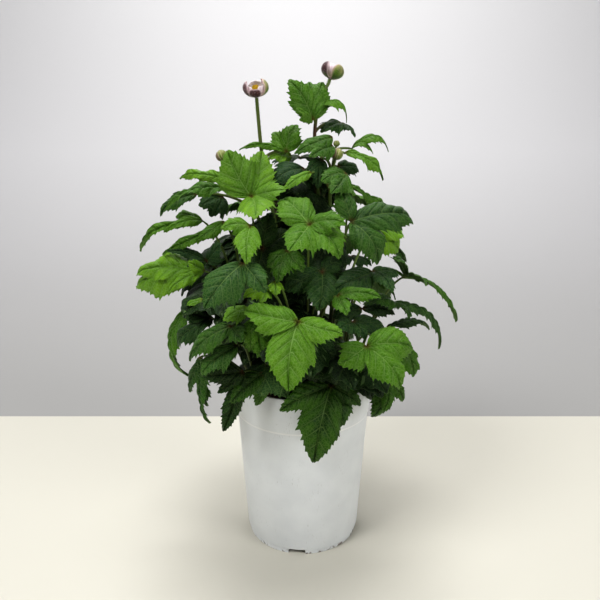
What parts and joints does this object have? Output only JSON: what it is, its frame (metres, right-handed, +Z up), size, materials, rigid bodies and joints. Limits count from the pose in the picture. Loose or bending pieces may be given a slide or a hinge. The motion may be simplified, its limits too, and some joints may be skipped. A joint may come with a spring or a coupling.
{
  "type": "potted japanese anemone in bud",
  "caption": "Japanese anemone plant with toothed three-part leaves and opening buds in a white tapered nursery pot.",
  "frame": {"origin": "on the resting surface under the middle of the plant and its pot", "axes": "+Z up through the plant, -Y towards the viewer, +X to the viewer's right"},
  "size_m": [0.28, 0.2403, 0.4016],
  "materials": {
    "white_plastic": "matte white polypropylene with fine scuffs",
    "potting_mix": "crumbly dark peat and bark",
    "leaf_green": "satin leaf with pale veins",
    "leaf_deep_green": "satin dark leaf with pale veins",
    "sepal_purple": "downy purple and green",
    "sepal_pink": "silky pale pink",
    "stamen_yellow": "powdery yellow",
    "bud_green": "downy grey-green"
  },
  "bodies": {
    "root": {"pot": "white_plastic", "potting_mix": "potting_mix", "front_leaves": "leaf_green", "front_rim_leaves": "leaf_deep_green", "left_rim_leaves": "leaf_deep_green", "left_low_leaves": "leaf_deep_green", "left_high_leaves": "leaf_green", "far_left_leaves": "leaf_green", "centre_leaves": "leaf_green", "right_high_leaves": "leaf_deep_green", "right_low_leaves": "leaf_green", "right_leaves": "leaf_deep_green", "back_right_leaves": "leaf_deep_green", "back_leaves": "leaf_green", "back_middle_leaves": "leaf_deep_green", "back_left_leaves": "leaf_green", "left_flower_stem": "leaf_green", "tall_flower_stem": "leaf_green", "short_flower_stem": "leaf_green", "right_flower_stem": "leaf_green", "left_bud_outer_sepals": "sepal_purple", "left_bud_inner_sepals": "sepal_pink", "left_bud_stamens": "stamen_yellow", "tall_bud_outer_sepals": "sepal_purple", "tall_bud_inner_sepals": "sepal_pink", "tall_bud_stamens": "stamen_yellow", "short_stem_bud": "bud_green", "right_stem_bud": "bud_green"}
  },
  "joints": []
}
